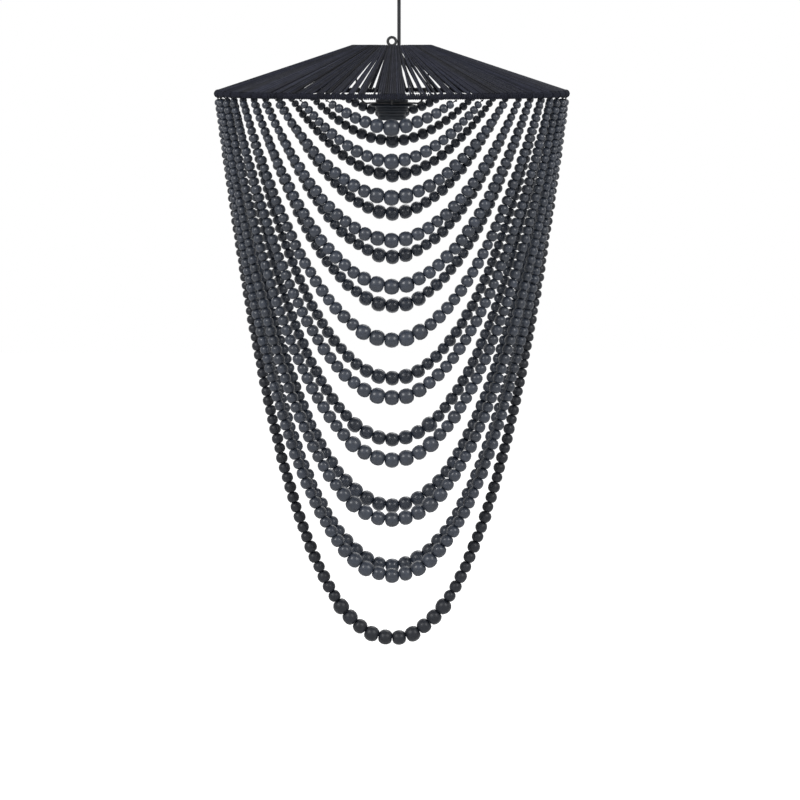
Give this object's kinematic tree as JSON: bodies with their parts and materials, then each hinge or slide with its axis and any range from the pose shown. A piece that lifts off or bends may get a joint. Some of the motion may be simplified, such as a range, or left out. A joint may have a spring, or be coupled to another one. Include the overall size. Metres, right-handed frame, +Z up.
{
  "type": "beaded chandelier",
  "caption": "Pendant chandelier: a shallow cord-strung hood on a wire frame with a screw lampholder inside and nested swags of graded round wooden beads below.",
  "frame": {"origin": "on the ceiling, at the centre of the ceiling plate's top face, over the lamp cord", "axes": "+Z up, towards the ceiling; -Y is the front; +X is the viewer's right"},
  "size_m": [0.4992, 0.4964, 0.9726],
  "materials": {
    "front_beads": "turned wooden beads, stained charcoal and waxed to a low sheen",
    "back_beads": "turned wooden beads, stained charcoal and waxed to a low sheen",
    "hood_cord": "twisted black cord, matt",
    "lamp_cord": "round flex in a black braided sleeve",
    "wire_frame": "black powder coat, satin",
    "lampholder": "moulded black thermoset plastic, semi-gloss",
    "contact_base": "glazed off-white insulator",
    "terminal_block": "off-white moulded plastic",
    "contacts": "pressed brass",
    "rose": "black powder coat, satin",
    "ceiling_plate": "zinc-plated pressed steel"
  },
  "bodies": {
    "ceiling_rose": {"ceiling_plate": "ceiling_plate", "cord_anchor": "lampholder", "terminal_block": "terminal_block", "rose_cord": "lamp_cord"},
    "rose_cup": {"rose_cup": "rose", "cord_grip": "lampholder"},
    "hanging_cord": {"lamp_cord": "lamp_cord"},
    "lamp": {"hood_winding": "hood_cord", "lower_ring": "wire_frame", "upper_ring": "wire_frame", "hood_rib_1": "wire_frame", "hood_rib_2": "wire_frame", "hood_rib_3": "wire_frame", "hood_rib_4": "wire_frame", "hood_rib_5": "wire_frame", "hood_rib_6": "wire_frame", "cross_bar": "wire_frame", "half_bar_front": "wire_frame", "half_bar_back": "wire_frame", "hanging_eye": "wire_frame", "fitter_ring": "wire_frame", "drop_arm_1": "wire_frame", "drop_arm_2": "wire_frame", "drop_arm_3": "wire_frame", "drop_arm_4": "wire_frame", "cord_gland": "lampholder", "lamp_cap": "lampholder", "lamp_skirt": "lampholder", "shade_ring": "lampholder", "contact_base": "contact_base", "screw_shell": "contacts", "centre_contact": "contacts"},
    "swag_front_01": {"swag_front_01": "front_beads"},
    "swag_front_02": {"swag_front_02": "front_beads"},
    "swag_front_03": {"swag_front_03": "front_beads"},
    "swag_front_04": {"swag_front_04": "front_beads"},
    "swag_front_05": {"swag_front_05": "front_beads"},
    "swag_front_06": {"swag_front_06": "front_beads"},
    "swag_front_07": {"swag_front_07": "front_beads"},
    "swag_front_08": {"swag_front_08": "front_beads"},
    "swag_front_09": {"swag_front_09": "front_beads"},
    "swag_front_10": {"swag_front_10": "front_beads"},
    "swag_back_01": {"swag_back_01": "back_beads"},
    "swag_back_02": {"swag_back_02": "back_beads"},
    "swag_back_03": {"swag_back_03": "back_beads"},
    "swag_back_04": {"swag_back_04": "back_beads"},
    "swag_back_05": {"swag_back_05": "back_beads"},
    "swag_back_06": {"swag_back_06": "back_beads"},
    "swag_back_07": {"swag_back_07": "back_beads"},
    "swag_back_08": {"swag_back_08": "back_beads"},
    "swag_back_09": {"swag_back_09": "back_beads"},
    "swag_back_10": {"swag_back_10": "back_beads"},
    "swag_centre": {"swag_centre": "front_beads"}
  },
  "joints": [
    {"name": "rose_cup_slide", "type": "slide", "parent": "ceiling_rose", "child": "rose_cup", "axis": [0, 0, -1], "range_m": [0, 0.03]},
    {"name": "cord_sway", "type": "hinge", "parent": "ceiling_rose", "child": "hanging_cord", "pos_m": [0, 0, -0.0616], "axis": [1, 0, 0], "range_deg": [-5, 5]},
    {"name": "hood_tilt", "type": "hinge", "parent": "hanging_cord", "child": "lamp", "pos_m": [-0.01, 0, -0.1437], "axis": [0, 1, 0], "range_deg": [-5, 5]},
    {"name": "swag_front_01_swing", "type": "hinge", "parent": "lamp", "child": "swag_front_01", "pos_m": [-0.01, -0.23019, -0.1803], "axis": [1, 0, 0], "range_deg": [-8, 8]},
    {"name": "swag_front_02_swing", "type": "hinge", "parent": "lamp", "child": "swag_front_02", "pos_m": [-0.01, -0.21401, -0.1803], "axis": [1, 0, 0], "range_deg": [-10, 10]},
    {"name": "swag_front_03_swing", "type": "hinge", "parent": "lamp", "child": "swag_front_03", "pos_m": [-0.01, -0.1916, -0.1803], "axis": [1, 0, 0], "range_deg": [-10, 10]},
    {"name": "swag_front_04_swing", "type": "hinge", "parent": "lamp", "child": "swag_front_04", "pos_m": [-0.01, -0.17576, -0.1803], "axis": [1, 0, 0], "range_deg": [-10, 10]},
    {"name": "swag_front_05_swing", "type": "hinge", "parent": "lamp", "child": "swag_front_05", "pos_m": [-0.01, -0.15944, -0.1803], "axis": [1, 0, 0], "range_deg": [-10, 10]},
    {"name": "swag_front_06_swing", "type": "hinge", "parent": "lamp", "child": "swag_front_06", "pos_m": [-0.01, -0.13895, -0.1803], "axis": [1, 0, 0], "range_deg": [-10, 10]},
    {"name": "swag_front_07_swing", "type": "hinge", "parent": "lamp", "child": "swag_front_07", "pos_m": [-0.01, -0.11522, -0.1803], "axis": [1, 0, 0], "range_deg": [-8, 8]},
    {"name": "swag_front_08_swing", "type": "hinge", "parent": "lamp", "child": "swag_front_08", "pos_m": [-0.01, -0.09181, -0.1803], "axis": [1, 0, 0], "range_deg": [-6, 6]},
    {"name": "swag_front_09_swing", "type": "hinge", "parent": "lamp", "child": "swag_front_09", "pos_m": [-0.01, -0.06366, -0.1803], "axis": [1, 0, 0], "range_deg": [-3.5, 3.5]},
    {"name": "swag_front_10_swing", "type": "hinge", "parent": "lamp", "child": "swag_front_10", "pos_m": [-0.01, -0.03192, -0.1803], "axis": [1, 0, 0], "range_deg": [-2.5, 2.5]},
    {"name": "swag_back_01_swing", "type": "hinge", "parent": "lamp", "child": "swag_back_01", "pos_m": [-0.01, 0.23138, -0.1803], "axis": [1, 0, 0], "range_deg": [-8, 8]},
    {"name": "swag_back_02_swing", "type": "hinge", "parent": "lamp", "child": "swag_back_02", "pos_m": [-0.01, 0.21092, -0.1803], "axis": [1, 0, 0], "range_deg": [-10, 10]},
    {"name": "swag_back_03_swing", "type": "hinge", "parent": "lamp", "child": "swag_back_03", "pos_m": [-0.01, 0.19087, -0.1803], "axis": [1, 0, 0], "range_deg": [-10, 10]},
    {"name": "swag_back_04_swing", "type": "hinge", "parent": "lamp", "child": "swag_back_04", "pos_m": [-0.01, 0.1763, -0.1803], "axis": [1, 0, 0], "range_deg": [-10, 10]},
    {"name": "swag_back_05_swing", "type": "hinge", "parent": "lamp", "child": "swag_back_05", "pos_m": [-0.01, 0.15649, -0.1803], "axis": [1, 0, 0], "range_deg": [-10, 10]},
    {"name": "swag_back_06_swing", "type": "hinge", "parent": "lamp", "child": "swag_back_06", "pos_m": [-0.01, 0.13543, -0.1803], "axis": [1, 0, 0], "range_deg": [-10, 10]},
    {"name": "swag_back_07_swing", "type": "hinge", "parent": "lamp", "child": "swag_back_07", "pos_m": [-0.01, 0.11145, -0.1803], "axis": [1, 0, 0], "range_deg": [-8, 8]},
    {"name": "swag_back_08_swing", "type": "hinge", "parent": "lamp", "child": "swag_back_08", "pos_m": [-0.01, 0.08606, -0.1803], "axis": [1, 0, 0], "range_deg": [-6, 6]},
    {"name": "swag_back_09_swing", "type": "hinge", "parent": "lamp", "child": "swag_back_09", "pos_m": [-0.01, 0.05956, -0.1803], "axis": [1, 0, 0], "range_deg": [-3.5, 3.5]},
    {"name": "swag_back_10_swing", "type": "hinge", "parent": "lamp", "child": "swag_back_10", "pos_m": [-0.01, 0.03, -0.1803], "axis": [1, 0, 0], "range_deg": [-2.5, 2.5]},
    {"name": "swag_centre_swing", "type": "hinge", "parent": "lamp", "child": "swag_centre", "pos_m": [-0.01, 0, -0.1803], "axis": [1, 0, 0], "range_deg": [-2.5, 2.5]}
  ]
}
